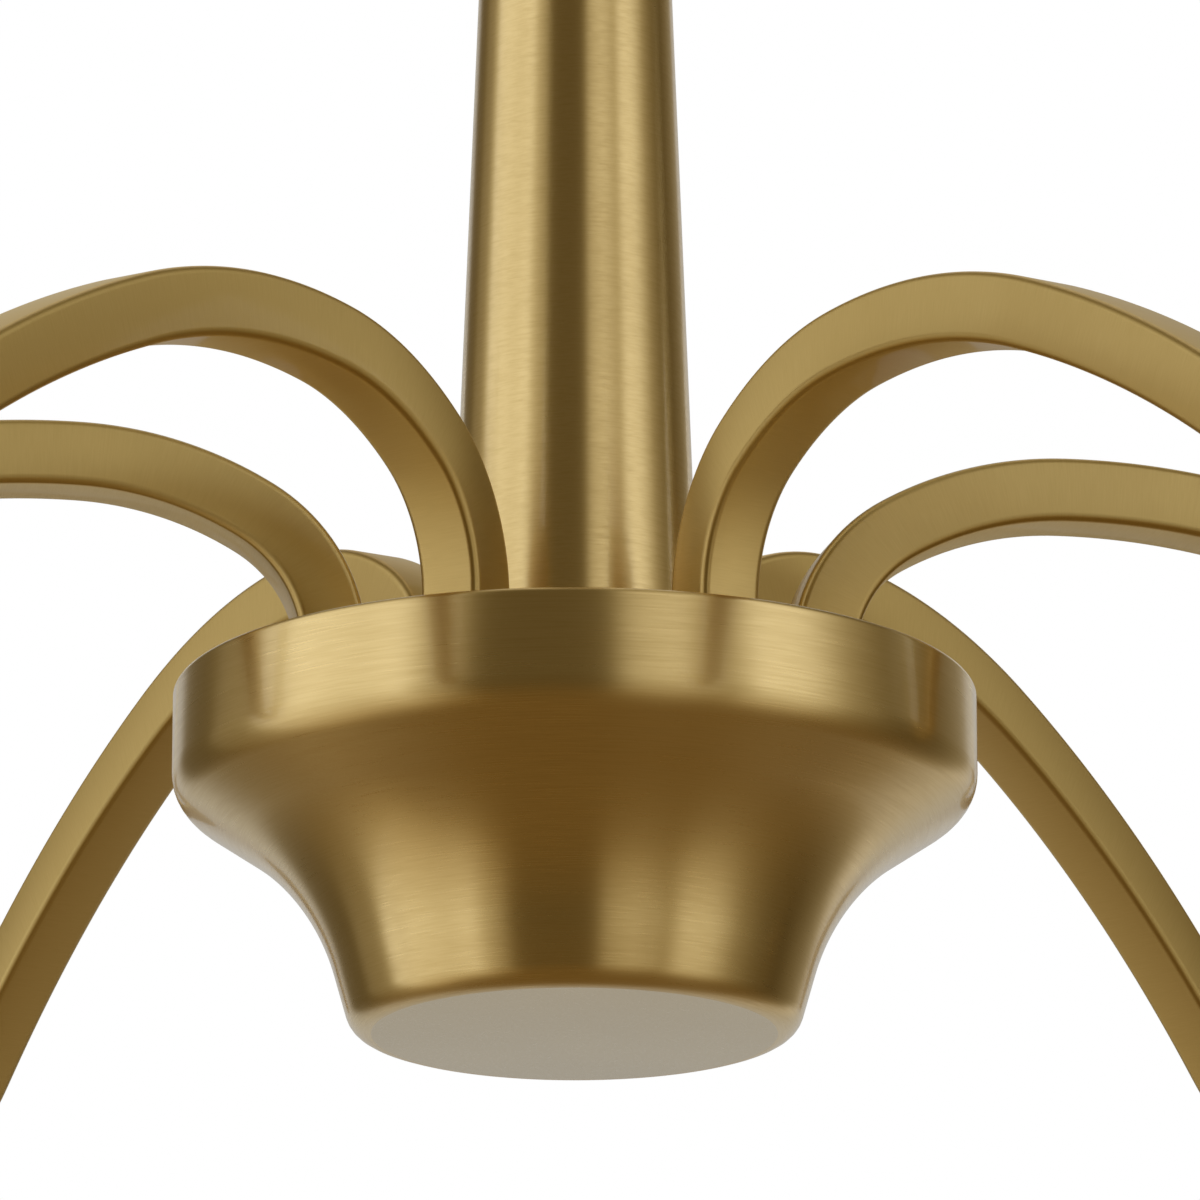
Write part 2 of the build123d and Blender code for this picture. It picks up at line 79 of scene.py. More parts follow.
# ---- the hub bowl's outline, in metres and degrees --------------------------------
BOWL_WALL = 0.0015
BOWL_LIP_ROUND = 0.0011
BAND_HEIGHT = 0.016
BAND_ROLL = 0.008
SHOULDER_SLOPE = 34
SHOULDER_RUN = 0.0108
COVE_RADIUS = 0.046
NECK_SLOPE = 74
NECK_RUN = 0.0086
FOOT_ROLL = 0.005
BOWL_STEP = 0.0012
BOWL_SEGMENTS = 288
BOWL_SHARP_ANGLE = 40
SAME_POINT = 1e-7
SAME_HEIGHT = 1e-5

# ---- the flame bulb, in metres -------------------------------------------------------
BULB_WIDEST = 0.0172
BULB_GLASS = 0.0006
BULB_STEPS = 48
BULB_SEGMENTS = 72
# the outline stops just short of the tip, and the inside stops further down
BULB_TIP_SHARE = 0.995
BULB_TIP_GLASS = 0.003
BULB_INSIDE_LEAST = 0.0004
CAP_RADIUS = 0.0059
CAP_TURNS = 7
CAP_THREAD_DEPTH = 0.0006
FILAMENT_SPREAD = 0.0035
FILAMENT_TURNS = 34
FILAMENT_STEPS = 260
FILAMENT_COIL = 0.0004
FILAMENT_WIRE = 0.00012
SUPPORT_WIRE = 0.00025
# heights in the glass, as shares of its height: the supports' bend, their ends, the filament's top
SUPPORT_BEND = 0.14
SUPPORT_END = 0.24
FILAMENT_TOP = 0.52

# ---- colours ------------------------------------------------------------------------
BRASS = (0.81, 0.615, 0.275)
BRASS_DEEP = (0.72, 0.53, 0.21)
TUBE_BRASS = (0.77, 0.575, 0.225)
TUBE_DEEP = (0.68, 0.49, 0.17)
STEEL = (0.62, 0.62, 0.63)
LACQUER = 0.5
IVORY = (0.82, 0.78, 0.66)


# ---- node helpers --------------------------------------------------------------------

class Graph:
    """A node tree, with short calls that add a node and give its output."""

    def __init__(self, tree):
        self.tree = tree
        tree.nodes.clear()

    def node(self, kind, **settings):
        made = self.tree.nodes.new(kind)
        for name, value in settings.items():
            setattr(made, name, value)
        return made

    def link(self, source, socket):
        if isinstance(source, bpy.types.NodeSocket):
            self.tree.links.new(source, socket)
        else:
            socket.default_value = source

    def math(self, operation, *values):
        made = self.node("ShaderNodeMath", operation=operation)
        for value, socket in zip(values, made.inputs):
            self.link(value, socket)
        return made.outputs[0]

    def combine(self, x, y, z):
        made = self.node("ShaderNodeCombineXYZ")
        for value, socket in zip((x, y, z), made.inputs):
            self.link(value, socket)
        return made.outputs[0]

    def separate(self, vector):
        made = self.node("ShaderNodeSeparateXYZ")
        self.link(vector, made.inputs[0])
        return made.outputs

    def noise(self, vector, scale, detail=2.0, w=None):
        made = self.node("ShaderNodeTexNoise", noise_dimensions="3D" if w is None else "4D")
        self.link(vector, made.inputs["Vector"])
        made.inputs["Scale"].default_value = scale
        made.inputs["Detail"].default_value = detail
        if w is not None:
            self.link(w, made.inputs["W"])
        return made.outputs["Fac"]

    def remap(self, value, low, high, to_low, to_high, smooth=False):
        made = self.node("ShaderNodeMapRange")
        made.interpolation_type = "SMOOTHSTEP" if smooth else "LINEAR"
        for source, name in ((value, "Value"), (low, "From Min"), (high, "From Max"),
                             (to_low, "To Min"), (to_high, "To Max")):
            self.link(source, made.inputs[name])
        return made.outputs["Result"]

    def mix(self, factor, first, second):
        made = self.node("ShaderNodeMix", data_type="RGBA")
        self.link(factor, made.inputs["Factor"])
        self.link(first, made.inputs["A"])
        self.link(second, made.inputs["B"])
        return made.outputs["Result"]

    def bump(self, height, strength, distance):
        made = self.node("ShaderNodeBump")
        self.link(height, made.inputs["Height"])
        made.inputs["Strength"].default_value = strength
        made.inputs["Distance"].default_value = distance
        return made.outputs["Normal"]


def rgba(colour):
    return (*colour, 1.0)


def new_material(name):
    material = bpy.data.materials.new(name)
    material.use_nodes = True
    graph = Graph(material.node_tree)
    shader = graph.node("ShaderNodeBsdfPrincipled")
    output = graph.node("ShaderNodeOutputMaterial")
    graph.link(shader.outputs[0], output.inputs["Surface"])
    return material, graph, shader


# ---- materials ----------------------------------------------------------------------------

def finish_brass(graph, shader, streak, fine, blotch, roughness, grain, lacquer=LACQUER,
                 contrast=1.0, bright=BRASS, deep=BRASS_DEEP):
    """Satin brass: streaks of brush lines in the colour, roughness and bump."""
    tone = graph.math("ADD", graph.math("MULTIPLY", streak, 0.65), graph.math("MULTIPLY", fine, 0.35))
    share = graph.remap(tone, 0.2, 0.8, 0.8 - 0.8 * contrast, 0.8 + 0.8 * contrast)
    colour = graph.mix(share, rgba(deep), rgba(bright))
    aged = graph.mix(graph.remap(blotch, 0.35, 0.75, 0.0, 0.22), colour, rgba(deep))
    graph.link(aged, shader.inputs["Base Color"])
    spread = 0.05 * contrast
    rough = graph.remap(tone, 0.3, 0.7, roughness + spread, roughness - spread)
    rough = graph.math("ADD", rough, graph.remap(blotch, 0.3, 0.7, -0.015, 0.025))
    graph.link(rough, shader.inputs["Roughness"])
    graph.link(graph.bump(tone, grain, 0.00004), shader.inputs["Normal"])
    shader.inputs["Metallic"].default_value = 1.0
    shader.inputs["Coat Weight"].default_value = lacquer
    shader.inputs["Coat Roughness"].default_value = 0.07
    graph.link(graph.bump(tone, grain * 0.5, 0.00002), shader.inputs["Coat Normal"])


def spun_brass(name, centre, roughness=0.30, anisotropy=0.88, grain=0.14):
    """Brass brushed round an upright axis, as on a spun or turned piece."""
    material, graph, shader = new_material(name)
    place = graph.node("ShaderNodeTexCoord").outputs["Object"]
    x, y, z = graph.separate(place)
    x = graph.math("SUBTRACT", x, centre.x)
    y = graph.math("SUBTRACT", y, centre.y)
    radius = graph.math("SQRT", graph.math("ADD", graph.math("POWER", x, 2.0), graph.math("POWER", y, 2.0)))
    safe = graph.math("MAXIMUM", radius, 0.0005)
    around_x = graph.math("DIVIDE", x, safe)
    around_y = graph.math("DIVIDE", y, safe)

    def lines(turns, per_metre, detail):
        vector = graph.combine(graph.math("MULTIPLY", around_x, turns),
                               graph.math("MULTIPLY", around_y, turns),
                               graph.math("MULTIPLY", radius, per_metre))
        return graph.noise(vector, 1.0, detail, w=graph.math("MULTIPLY", z, per_metre))

    streak = lines(6.0, 3000.0, 3.0)
    fine = lines(14.0, 7000.0, 2.0)
    blotch = graph.noise(place, 28.0, 3.0)
    finish_brass(graph, shader, streak, fine, blotch, roughness, grain)
    tangent = graph.node("ShaderNodeTangent", direction_type="RADIAL", axis="Z")
    graph.link(tangent.outputs[0], shader.inputs["Tangent"])
    shader.inputs["Anisotropic"].default_value = anisotropy
    shader.inputs["Anisotropic Rotation"].default_value = 0.25
    return material


def tube_brass(name, roughness=0.46, anisotropy=0.92, grain=0.045):
    """Brass brushed across a bent tube. The UV map runs along the tube and then round it."""
    material, graph, shader = new_material(name)
    along, across, _ = graph.separate(graph.node("ShaderNodeUVMap", uv_map="brush").outputs[0])

    def lines(along_per_metre, across_per_metre, detail):
        vector = graph.combine(graph.math("MULTIPLY", along, along_per_metre),
                               graph.math("MULTIPLY", across, across_per_metre), 0.0)
        return graph.noise(vector, 1.0, detail)

    streak = lines(3600.0, 150.0, 3.0)
    fine = lines(6500.0, 300.0, 2.0)
    blotch = graph.noise(graph.node("ShaderNodeTexCoord").outputs["Object"], 28.0, 3.0)
    finish_brass(graph, shader, streak, fine, blotch, roughness, grain, lacquer=0.2, contrast=0.45,
                 bright=TUBE_BRASS, deep=TUBE_DEEP)
    tangent = graph.node("ShaderNodeTangent", direction_type="UV_MAP", uv_map="brush")
    graph.link(tangent.outputs[0], shader.inputs["Tangent"])
    shader.inputs["Anisotropic"].default_value = anisotropy
    return material


def small_brass(name):
    """Brass on small turned and machined pieces, with an even fine grain."""
    material, graph, shader = new_material(name)
    place = graph.node("ShaderNodeTexCoord").outputs["Object"]
    x, y, z = graph.separate(place)
    streak = graph.noise(graph.combine(graph.math("MULTIPLY", x, 160.0), graph.math("MULTIPLY", y, 160.0),
                                       graph.math("MULTIPLY", z, 2600.0)), 1.0, 3.0)
    fine = graph.noise(place, 3800.0, 2.0)
    blotch = graph.noise(place, 60.0, 3.0)
    finish_brass(graph, shader, streak, fine, blotch, 0.32, 0.2)
    return material


def plain_brass_painted_sheen(name):
    """The hub's flat bottom: finished without brush lines and even. Its paler, greyer colour is painted
    sheen, the whitish reflection the flat bottom shows at a glancing view.
    """
    material, graph, shader = new_material(name)
    place = graph.node("ShaderNodeTexCoord").outputs["Object"]
    cloud = graph.noise(place, 30.0, 3.0)
    fine = graph.noise(place, 2400.0, 2.0)
    # painted sheen: this paler, greyer brass stands in for the whitish reflection on the flat bottom
    sheen_pale_tone = (0.79, 0.69, 0.49)
    colour = graph.mix(graph.remap(cloud, 0.3, 0.7, 0.0, 1.0), rgba([c * 0.96 for c in sheen_pale_tone]), rgba(sheen_pale_tone))
    graph.link(colour, shader.inputs["Base Color"])
    graph.link(graph.remap(fine, 0.3, 0.7, 0.27, 0.33), shader.inputs["Roughness"])
    graph.link(graph.bump(fine, 0.1, 0.00002), shader.inputs["Normal"])
    shader.inputs["Metallic"].default_value = 1.0
    return material


def zinc_steel(name):
    material, graph, shader = new_material(name)
    place = graph.node("ShaderNodeTexCoord").outputs["Object"]
    spangle = graph.noise(place, 260.0, 4.0)
    colour = graph.mix(spangle, rgba([c * 0.82 for c in STEEL]), rgba(STEEL))
    graph.link(colour, shader.inputs["Base Color"])
    graph.link(graph.remap(spangle, 0.3, 0.7, 0.30, 0.45), shader.inputs["Roughness"])
    graph.link(graph.bump(graph.noise(place, 1800.0), 0.15, 0.00005), shader.inputs["Normal"])
    shader.inputs["Metallic"].default_value = 1.0
    return material


def painted_screw(name):
    material, graph, shader = new_material(name)
    place = graph.node("ShaderNodeTexCoord").outputs["Object"]
    chips = graph.remap(graph.noise(place, 900.0, 3.0), 0.60, 0.66, 0.0, 1.0, smooth=True)
    graph.link(graph.mix(chips, rgba((0.03, 0.22, 0.06)), rgba(STEEL)), shader.inputs["Base Color"])
    graph.link(chips, shader.inputs["Metallic"])
    shader.inputs["Roughness"].default_value = 0.35
    return material


def ivory_plastic(name):
    """Satin ivory candle sleeve with a faint upright draw grain."""
    material, graph, shader = new_material(name)
    place = graph.node("ShaderNodeTexCoord").outputs["Object"]
    x, y, z = graph.separate(place)
    grain = graph.noise(graph.combine(graph.math("MULTIPLY", x, 1400.0), graph.math("MULTIPLY", y, 1400.0),
                                      graph.math("MULTIPLY", z, 60.0)), 1.0, 2.0)
    cloud = graph.noise(place, 45.0, 3.0)
    colour = graph.mix(graph.remap(cloud, 0.3, 0.7, 0.0, 1.0), rgba([c * 0.93 for c in IVORY]), rgba(IVORY))
    graph.link(colour, shader.inputs["Base Color"])
    graph.link(graph.remap(grain, 0.3, 0.7, 0.40, 0.52), shader.inputs["Roughness"])
    graph.link(graph.bump(grain, 0.12, 0.00004), shader.inputs["Normal"])
    shader.inputs["Subsurface Weight"].default_value = 0.12
    shader.inputs["Subsurface Radius"].default_value = (0.004, 0.003, 0.002)
    return material


def socket_plastic(name):
    material, graph, shader = new_material(name)
    place = graph.node("ShaderNodeTexCoord").outputs["Object"]
    speck = graph.noise(place, 1500.0, 3.0)
    graph.link(graph.mix(speck, rgba((0.02, 0.018, 0.016)), rgba((0.05, 0.045, 0.04))),
               shader.inputs["Base Color"])
    graph.link(graph.remap(speck, 0.3, 0.7, 0.45, 0.6), shader.inputs["Roughness"])
    return material


def clear_glass(name):
    material, graph, shader = new_material(name)
    place = graph.node("ShaderNodeTexCoord").outputs["Object"]
    ripple = graph.noise(place, 90.0, 1.0)
    graph.link(graph.bump(ripple, 0.05, 0.0005), shader.inputs["Normal"])
    smear = graph.noise(place, 700.0, 2.0)
    graph.link(graph.remap(smear, 0.4, 0.8, 0.01, 0.03), shader.inputs["Roughness"])
    shader.inputs["Base Color"].default_value = rgba((0.97, 0.97, 0.96))
    shader.inputs["Transmission Weight"].default_value = 1.0
    shader.inputs["IOR"].default_value = 1.45
    return material


def dark_wire(name):
    material, graph, shader = new_material(name)
    place = graph.node("ShaderNodeTexCoord").outputs["Object"]
    tone = graph.noise(place, 2500.0, 2.0)
    colour = graph.mix(tone, rgba((0.20, 0.18, 0.16)), rgba((0.42, 0.38, 0.33)))
    graph.link(colour, shader.inputs["Base Color"])
    shader.inputs["Metallic"].default_value = 1.0
    shader.inputs["Roughness"].default_value = 0.4
    return material


# ---- mesh helpers ----------------------------------------------------------------------------

def new_object(name, mesh, material, body):
    piece = bpy.data.objects.new(name, mesh)
    bpy.context.scene.collection.objects.link(piece)
    mesh.materials.append(material)
    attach(piece, body)
    return piece


def mesh_from(bm, name):
    bmesh.ops.recalc_face_normals(bm, faces=bm.faces[:])
    mesh = bpy.data.meshes.new(name)
    bm.to_mesh(mesh)
    bm.free()
    return mesh


def add_lathe(bm, outline, centre, segments=64):
    """Turn (radius, height) points about an upright axis. A radius of zero closes the end."""
    rings = []
    for radius, height in outline:
        if radius < 1e-6:
            rings.append([bm.verts.new((centre.x, centre.y, height))])
            continue
        ring = []
        for step in range(segments):
            angle = 2 * math.pi * step / segments
            ring.append(bm.verts.new((centre.x + radius * math.cos(angle),
                                      centre.y + radius * math.sin(angle), height)))
        rings.append(ring)
    for lower, upper in zip(rings, rings[1:]):
        for step in range(segments):
            after = (step + 1) % segments
            corners = [lower[step % len(lower)], lower[after % len(lower)],
                       upper[after % len(upper)], upper[step % len(upper)]]
            corners = list(dict.fromkeys(corners))
            if len(corners) > 2:
                bm.faces.new(corners)


def trace(out, up, heading, moves, step):
    """Points (out, up, heading) along tangent runs: (length,) goes straight, (radius, turn) bends."""
    line = [(out, up, math.radians(heading))]
    for move in moves:
        out, up, heading = line[-1]
        if len(move) == 1:
            line.append((out + move[0] * math.cos(heading), up + move[0] * math.sin(heading), heading))
            continue
        radius, turn = move[0], math.radians(move[1])
        steps = max(6, round(radius * abs(turn) / step))
        side = math.copysign(1.0, turn)
        centre_out = out - side * radius * math.sin(heading)
        centre_up = up + side * radius * math.cos(heading)
        for count in range(1, steps + 1):
            angle = heading + turn * count / steps
            line.append((centre_out + side * radius * math.sin(angle),
                         centre_up - side * radius * math.cos(angle), angle))
    return line


def shade_smooth(mesh, sharp_degrees=None):
    mesh.shade_smooth()
    if sharp_degrees is not None:
        mesh.set_sharp_from_angle(angle=math.radians(sharp_degrees))


# ---- arms ---------------------------------------------------------------------------------------

def arm_line():
    """Points (outward, height, heading) along an arm's centre line, from its seat to its tip."""
    return trace(0.0, 0.0, 90, [(ARM_RISE,)] + ARM_BENDS + [(ARM_TIP_RISE,)], ARM_STEP)


def tube_section():
    """Rounded square as (inward, sideways, distance round) points, closed by its first point."""
    half = TUBE_SIZE / 2 - TUBE_CORNER
    points = []
    for corner, (side_a, side_b) in enumerate(((1, 1), (-1, 1), (-1, -1), (1, -1))):
        for step in range(TUBE_CORNER_STEPS + 1):
            angle = math.pi / 2 * (corner + step / TUBE_CORNER_STEPS)
            points.append((side_a * half + TUBE_CORNER * math.cos(angle),
                           side_b * half + TUBE_CORNER * math.sin(angle)))
    section = []
    distance = 0.0
    for index, point in enumerate(points + points[:1]):
        if index:
            distance += math.dist(point, points[index - 1])
        section.append((*point, distance))
    return section


def make_arm(number, material):
    stud = Vector(frame["joints"][1 + number]["pos_m"])
    low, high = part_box(f"candle_sleeve_{number}")
    outward = (low + high) / 2 - stud
    outward.z = 0.0
    outward.normalize()
    sideways = Vector((-outward.y, outward.x, 0.0))
    seat_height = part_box(f"arm_nut_{number}")[1].z + SEAT_ABOVE_NUT
    section = tube_section()
    line = arm_line()

    bm = bmesh.new()
    uv_layer = bm.loops.layers.uv.new("brush")
    rings = []
    distances = [0.0]
    for before, after in zip(line, line[1:]):
        distances.append(distances[-1] + math.dist(before[:2], after[:2]))
    for out, up, heading in line:
        normal = outward * -math.sin(heading) + Vector((0, 0, math.cos(heading)))
        middle = stud + outward * out
        middle.z = seat_height + up
        ring = [bm.verts.new(middle + normal * a + sideways * b) for a, b, _ in section[:-1]]
        rings.append(ring)
    count = len(section) - 1
    for index, (ring, following) in enumerate(zip(rings, rings[1:])):
        for step in range(count):
            after = (step + 1) % count
            face = bm.faces.new((ring[step], ring[after], following[after], following[step]))
            places = ((index, step), (index, step + 1), (index + 1, step + 1), (index + 1, step))
            for loop, (row, column) in zip(face.loops, places):
                loop[uv_layer].uv = (distances[row], section[column][2])
    bm.faces.new(rings[0])
    bm.faces.new(rings[-1])

    tip = stud + outward * line[-1][0]
    tip_height = seat_height + line[-1][1]
    add_lathe(bm, pipe_outline(seat_height - STUD_LENGTH, seat_height), stud, PIPE_SEGMENTS)
    add_lathe(bm, pipe_outline(tip_height, tip_height + NIPPLE_LENGTH), tip, PIPE_SEGMENTS)
    mesh = mesh_from(bm, f"arm_tube_{number}")
    shade_smooth(mesh, TUBE_SHARP_ANGLE)
    piece = new_object(f"arm_tube_{number}", mesh, material, f"arm_{number}")
    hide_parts(f"arm_{number}")


def pipe_outline(bottom, top):
    """Outline of a threaded lamp pipe: ridges one pitch apart between two flat ends."""
    root = PIPE_RADIUS - PIPE_THREAD_DEPTH
    outline = [(0.0, bottom), (root, bottom)]
    for turn in range(round((top - bottom) / PIPE_PITCH)):
        outline.append((PIPE_RADIUS, bottom + (turn + 0.5) * PIPE_PITCH))
        outline.append((root, bottom + (turn + 1) * PIPE_PITCH))
    return outline + [(0.0, outline[-1][1])]


# ---- hub bowl --------------------------------------------------------------------------------

def bowl_bends(wall):
    """Runs and bends below the band, down to the flat bottom, set in by a wall."""
    return [(BAND_ROLL - wall, SHOULDER_SLOPE - 90), (SHOULDER_RUN,),
            (COVE_RADIUS + wall, NECK_SLOPE - SHOULDER_SLOPE), (NECK_RUN,),
            (FOOT_ROLL - wall, -NECK_SLOPE)]


def make_bowl(side_material, bottom_material):
    low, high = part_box("hub_bowl")
    mouth = (high.x - low.x) / 2 - BOWL_WALL
    lip = [(BOWL_WALL - BOWL_LIP_ROUND,), (BOWL_LIP_ROUND, -90), (BAND_HEIGHT - BOWL_LIP_ROUND,)]
    outside = trace(mouth, high.z, 0, lip + bowl_bends(0.0), BOWL_STEP)
    inside = trace(mouth, high.z, -90, [(BAND_HEIGHT,)] + bowl_bends(BOWL_WALL), BOWL_STEP)
    outline = [(out, up) for out, up, _ in outside] + [(0.0, outside[-1][1]), (0.0, inside[-1][1])]
    outline += [(out, up) for out, up, _ in reversed(inside)]
    bm = bmesh.new()
    add_lathe(bm, outline, Vector((0.0, 0.0, 0.0)), BOWL_SEGMENTS)
    bmesh.ops.remove_doubles(bm, verts=bm.verts[:], dist=SAME_POINT)
    flat = low.z + SAME_HEIGHT
    for face in bm.faces:
        face.material_index = int(all(vert.co.z < flat for vert in face.verts))
    mesh = mesh_from(bm, "hub_bowl_shell")
    shade_smooth(mesh, BOWL_SHARP_ANGLE)
    piece = new_object("hub_bowl_shell", mesh, side_material, "hub_and_stem")
    mesh.materials.append(bottom_material)
    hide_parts("hub_bowl")


# ---- bulbs ----------------------------------------------------------------------------------------

def bulb_radius(share):
    """Radius of the flame bulb's glass at a share of its height, as a share of its widest radius."""
    neck = 0.375
    peak = 0.36
    if share < peak:
        t = share / peak
        return neck + (1 - neck) * (t * t * (3 - 2 * t)) ** 0.8
    t = (share - peak) / (1 - peak)
    return (1 - t) ** 1.18 * (1 + 0.75 * t) + 0.055 * t


def make_bulb(number, glass, brass, wire):
    low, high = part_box(f"bulb_{number}")
    centre = (low + high) / 2
    glass_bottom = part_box(f"lamp_socket_{number}")[1].z
    height = high.z - glass_bottom
    outer = []
    for step in range(BULB_STEPS + 1):
        share = step / BULB_STEPS
        outer.append((BULB_WIDEST * bulb_radius(share), glass_bottom + height * share * BULB_TIP_SHARE))
    inner = []
    for radius, z in outer[:-2]:
        inner.append((max(radius - BULB_GLASS, BULB_INSIDE_LEAST), min(z, high.z - BULB_TIP_GLASS)))
    inside_bottom = inner[0][1] + BULB_GLASS
    inner[0] = (inner[0][0], inside_bottom)
    bm = bmesh.new()
    add_lathe(bm, [(0.0, outer[0][1])] + outer + [(0.0, high.z)], centre, BULB_SEGMENTS)
    add_lathe(bm, [(0.0, inside_bottom)] + inner + [(0.0, inner[-1][1])], centre, BULB_SEGMENTS)
    mesh = bpy.data.meshes.new(f"bulb_glass_{number}")
    orient_shells(bm)
    bm.to_mesh(mesh)
    bm.free()
    shade_smooth(mesh)
    piece = new_object(f"bulb_glass_{number}", mesh, glass, f"arm_{number}")
    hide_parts(f"bulb_{number}")
    make_bulb_cap(number, centre, low.z, glass_bottom, brass)
    make_filament(number, centre, glass_bottom, height, wire)


def orient_shells(bm):
    """Turn the outer shell's faces outward and the inner shell's faces inward."""
    bmesh.ops.recalc_face_normals(bm, faces=bm.faces[:])
    bm.verts.index_update()
    half = len(bm.verts) // 2
    inner = [face for face in bm.faces if all(vert.index >= half for vert in face.verts)]
    if inner:
        middle = sum((vert.co for vert in bm.verts), Vector()) / len(bm.verts)
        outward = sum(1 if face.normal.dot(face.calc_center_median() - middle) > 0 else -1 for face in inner)
        if outward > 0:
            bmesh.ops.reverse_faces(bm, faces=inner)


def make_bulb_cap(number, centre, bottom, top, brass):
    """Screw cap: a contact button, a thread and a collar that ends inside the glass neck."""
    outline = [(0.0, bottom), (0.0025, bottom), (0.0040, bottom + 0.0015)]
    root = CAP_RADIUS - CAP_THREAD_DEPTH
    pitch = (top - bottom - 0.006) / CAP_TURNS
    for turn in range(CAP_TURNS):
        z = bottom + 0.003 + turn * pitch
        outline += [(root, z), (CAP_RADIUS, z + pitch * 0.5)]
    outline += [(root, top - 0.003), (CAP_RADIUS - 0.0004, top + 0.0008), (0.0, top + 0.0008)]
    bm = bmesh.new()
    add_lathe(bm, outline, centre, 40)
    mesh = mesh_from(bm, f"bulb_cap_{number}")
    shade_smooth(mesh, 60)
    new_object(f"bulb_cap_{number}", mesh, brass, f"arm_{number}")


def add_wire(bm, points, radius, sides=8):
    """Round wire through a list of points."""
    rings = []
    for index, point in enumerate(points):
        ahead = points[min(index + 1, len(points) - 1)]
        behind = points[max(index - 1, 0)]
        along = (ahead - behind).normalized()
        aside = along.orthogonal().normalized()
        if rings:
            aside = (last_aside - along * last_aside.dot(along)).normalized()
        last_aside = aside
        other = along.cross(aside)
        ring = []
        for side in range(sides):
            angle = 2 * math.pi * side / sides
            ring.append(bm.verts.new(point + (aside * math.cos(angle) + other * math.sin(angle)) * radius))
        rings.append(ring)
    for ring, following in zip(rings, rings[1:]):
        for side in range(sides):
            after = (side + 1) % sides
            bm.faces.new((ring[side], ring[after], following[after], following[side]))
    bm.faces.new(rings[0])
    bm.faces.new(rings[-1])


def make_filament(number, centre, bottom, height, wire):
    """Two support wires that stand in the cap and a hairpin filament between them."""
    bm = bmesh.new()
    bend = bottom + height * SUPPORT_BEND
    end = bottom + height * SUPPORT_END
    top = bottom + height * FILAMENT_TOP
    for side in (-1, 1):
        post = [Vector((centre.x + side * 0.0015, centre.y, bottom + 0.0012)),
                Vector((centre.x + side * 0.0018, centre.y, bend)),
                Vector((centre.x + side * FILAMENT_SPREAD, centre.y, end))]
        add_wire(bm, post, SUPPORT_WIRE)
    coil = []
    for step in range(FILAMENT_STEPS + 1):
        share = step / FILAMENT_STEPS
        arch = math.pi * share
        spin = 2 * math.pi * FILAMENT_TURNS * share
        x = centre.x - FILAMENT_SPREAD * math.cos(arch) + FILAMENT_COIL * math.cos(spin)
        y = centre.y + FILAMENT_COIL * math.sin(spin)
        coil.append(Vector((x, y, end + (top - end) * math.sin(arch))))
    add_wire(bm, coil, FILAMENT_WIRE, 6)
    mesh = mesh_from(bm, f"bulb_filament_{number}")
    shade_smooth(mesh)
    new_object(f"bulb_filament_{number}", mesh, wire, f"arm_{number}")


# ---- put materials on the CAD nodes -------------------------------------------------------------

def dress(node, material):
    piece = NODES[node]
    piece.data.materials.clear()
    piece.data.materials.append(material)


def dress_nodes():
    axis = Vector((0.0, 0.0, 0.0))
    spun = spun_brass("brass_spun_hub", axis)
    turned = spun_brass("brass_turned_stem", axis, roughness=0.32)
    dress("canopy", spun)
    # the bowl's flat bottom gets a paler brass that is painted sheen
    make_bowl(spun, plain_brass_painted_sheen("brass_plain_bottom_painted_sheen"))
    for node in ("column_shell", "column_cap", "canopy_ring", "stem_coupling", "stem_rod_upper",
                 "stem_rod_lower", "arm_plate"):
        dress(node, turned)
    small = small_brass("brass_machined")
    for node in ("swivel_yoke_upper", "swivel_yoke_lower", "swivel_block"):
        dress(node, small)
    steel = zinc_steel("steel_zinc")
    for node in ("mounting_bracket", "bracket_nipple", "bracket_nut", "swivel_pins_upper",
                 "swivel_pins_lower", "column_base", "center_rod", "plate_nut",
                 "bowl_ledge", "hub_boss"):
        dress(node, steel)
    dress("ground_screw", painted_screw("paint_green"))
    ivory = ivory_plastic("plastic_ivory")
    phenolic = socket_plastic("plastic_phenolic")
    glass = clear_glass("glass_clear")
    wire = dark_wire("wire_dark")
    tube = tube_brass("brass_brushed_tube")
    for number in range(1, ARM_COUNT + 1):
        low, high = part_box(f"drip_pan_{number}")
        dress(f"drip_pan_{number}", spun_brass(f"brass_spun_pan_{number}", (low + high) / 2))
        dress(f"candle_sleeve_{number}", ivory)
        dress(f"lamp_socket_{number}", phenolic)
        dress(f"arm_nut_{number}", steel)
        make_arm(number, tube)
        make_bulb(number, glass, small, wire)


# ---- studio ----------------------------------------------------------------------------------------

FLOOR_HALF = 60.0
FLOOR_HEIGHT = -7.0


def make_floor():
    """Pale floor, far below the lamp. Reflections don't see it: the world's FLOOR_SHADE stands in for it."""
    bm = bmesh.new()
    corners = []
    for x, y in ((-1, -1), (1, -1), (1, 1), (-1, 1)):
        corners.append(bm.verts.new((x * FLOOR_HALF, y * FLOOR_HALF, FLOOR_HEIGHT)))
    bm.faces.new(corners)
    mesh = bpy.data.meshes.new("floor")
    bm.to_mesh(mesh)
    bm.free()
    material, graph, shader = new_material("floor_pale")
    place = graph.node("ShaderNodeTexCoord").outputs["Object"]
    tone = graph.noise(place, 0.6, 2.0)
    colour = graph.mix(tone, rgba((0.90, 0.90, 0.89)), rgba((0.94, 0.94, 0.93)))
    graph.link(colour, shader.inputs["Base Color"])
    shader.inputs["Roughness"].default_value = 0.9
    mesh.materials.append(material)
    floor = bpy.data.objects.new("floor", mesh)
    bpy.context.scene.collection.objects.link(floor)
    floor.visible_glossy = False


